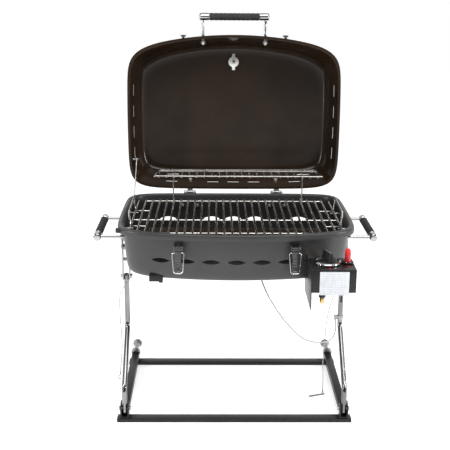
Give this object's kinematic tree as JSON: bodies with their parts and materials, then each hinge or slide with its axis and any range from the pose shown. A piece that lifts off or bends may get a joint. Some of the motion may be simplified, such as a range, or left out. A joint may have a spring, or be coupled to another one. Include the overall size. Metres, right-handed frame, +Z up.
{
  "type": "folding camp grill",
  "caption": "Gas camp grill whose bowl, hinged lid and wire grates stand on two folding tube legs over a flat steel base with hook-on studs.",
  "frame": {"origin": "on the ground under the middle of the whole object's box, cords left out", "axes": "+X to the cook's right, +Y away from the cook towards the lid's hinge, +Z up"},
  "size_m": [0.688, 0.6303, 0.9761],
  "materials": {
    "frame_enamel": "satin",
    "rail_enamel": "satin",
    "zinc": "zinc plated",
    "leg_chrome": "polished",
    "shell_enamel": "satin enamel",
    "lid_enamel": "gloss enamel",
    "latch_black": "satin",
    "chrome_cap": "polished",
    "grip_foam": "ribbed foam",
    "burner_steel": "heat tinted",
    "electrode_ceramic": "glazed ceramic with a steel wire",
    "box_enamel": "satin",
    "label_white": "matt printed film, blank",
    "valve_brass": "satin",
    "dark_steel": "blackened",
    "black_plastic": "satin",
    "buffer_rubber": "matt",
    "grate_wire": "dull plated wire",
    "button_red": "gloss",
    "cable_grey": "insulation",
    "lanyard_grey": "braided cord"
  },
  "bodies": {
    "base_frame": {"front_crossbar": "frame_enamel", "rear_crossbar": "frame_enamel", "side_rails": "rail_enamel", "ear_brackets": "frame_enamel", "leg_foot_bolts": "zinc", "hook_spools": "zinc"},
    "legs": {"leg_left": "leg_chrome", "leg_right": "leg_chrome", "cable_clip": "black_plastic", "lanyard_left": "lanyard_grey", "lanyard_right": "lanyard_grey", "lanyard_hook": "zinc", "lock_pin": "zinc"},
    "firebox": {"firebox_shell": "shell_enamel", "leg_brackets": "zinc", "bracket_bolts": "zinc", "leg_top_bolts": "zinc", "grate_pegs": "zinc", "hinge_plates": "zinc", "hinge_plate_bolts": "zinc", "hinge_pins": "zinc", "latch_bases": "latch_black", "side_handle_ends": "chrome_cap", "side_handle_grips": "grip_foam", "burner_tube": "burner_steel", "heat_plate": "burner_steel", "igniter_electrode": "electrode_ceramic", "control_box": "box_enamel", "control_side_plate": "box_enamel", "rating_label": "label_white", "gas_valve": "valve_brass", "gas_inlet": "valve_brass", "inlet_nut": "dark_steel", "igniter_socket": "black_plastic", "tray_clip": "frame_enamel", "rim_buffer": "buffer_rubber", "cable_gland": "black_plastic", "igniter_cable": "cable_grey"},
    "lid": {"lid_shell": "lid_enamel", "lid_hinge_straps": "zinc", "lid_hinge_bolts": "zinc", "lid_handle_ends": "chrome_cap", "lid_handle_grip": "grip_foam", "lid_handle_nuts": "zinc", "latch_keepers": "latch_black", "thermometer": "chrome_cap", "thermometer_nut": "zinc", "stay_bolt": "zinc"},
    "stay": {"lid_stay": "zinc"},
    "grate": {"cooking_grate": "grate_wire", "grate_handles": "grate_wire"},
    "rack": {"warming_rack": "grate_wire", "rack_legs": "grate_wire"},
    "knob": {"knob_skirt": "chrome_cap", "knob_grip": "black_plastic"},
    "button": {"igniter_button": "button_red"},
    "lever_left": {"latch_lever_left": "latch_black"},
    "lever_right": {"latch_lever_right": "latch_black"},
    "bail_left": {"latch_bail_left": "zinc"},
    "bail_right": {"latch_bail_right": "zinc"}
  },
  "joints": [
    {"name": "leg_fold", "type": "hinge", "parent": "base_frame", "child": "legs", "pos_m": [0, -0.14975, 0.033], "axis": [1, 0, 0], "range_deg": [-53, 0], "deforming": ["igniter_cable", "lanyard_left", "lanyard_right"]},
    {"name": "firebox_level", "type": "hinge", "parent": "legs", "child": "firebox", "pos_m": [0, -0.02475, 0.338], "axis": [1, 0, 0], "range_deg": [0, 53]},
    {"name": "lid_hinge", "type": "hinge", "parent": "firebox", "child": "lid", "pos_m": [0, 0.18625, 0.5055], "axis": [1, 0, 0], "range_deg": [0, 92.8]},
    {"name": "stay_swing", "type": "hinge", "parent": "lid", "child": "stay", "pos_m": [-0.262, 0.21138, 0.58937], "axis": [1, 0, 0], "range_deg": [-136, 0]},
    {"name": "grate_lift", "type": "slide", "parent": "firebox", "child": "grate", "axis": [0, 0, 1], "range_m": [0, 0.01]},
    {"name": "rack_lift", "type": "slide", "parent": "grate", "child": "rack", "axis": [0, 0, 1], "range_m": [0, 0.01]},
    {"name": "knob_turn", "type": "hinge", "parent": "firebox", "child": "knob", "pos_m": [0.203, -0.26775, 0.4526], "axis": [0, 0, 1], "range_deg": [0, 170]},
    {"name": "igniter_press", "type": "slide", "parent": "firebox", "child": "button", "axis": [0, 0, -1], "range_m": [0, 0.006], "stiffness_N_per_m": 500},
    {"name": "lever_left_swing", "type": "hinge", "parent": "firebox", "child": "lever_left", "pos_m": [-0.134, -0.23075, 0.474], "axis": [1, 0, 0], "range_deg": [-75, 0]},
    {"name": "lever_right_swing", "type": "hinge", "parent": "firebox", "child": "lever_right", "pos_m": [0.134, -0.23075, 0.474], "axis": [1, 0, 0], "range_deg": [-75, 0]},
    {"name": "bail_left_swing", "type": "hinge", "parent": "lever_left", "child": "bail_left", "pos_m": [-0.134, -0.22925, 0.464], "axis": [1, 0, 0], "range_deg": [-105, 0]},
    {"name": "bail_right_swing", "type": "hinge", "parent": "lever_right", "child": "bail_right", "pos_m": [0.134, -0.22925, 0.464], "axis": [1, 0, 0], "range_deg": [-105, 0]}
  ],
  "couplings": [
    {"joint": "firebox_level", "follows": "leg_fold", "ratio": -1},
    {"joint": "stay_swing", "follows": "lid_hinge", "ratio": -1.454}
  ]
}
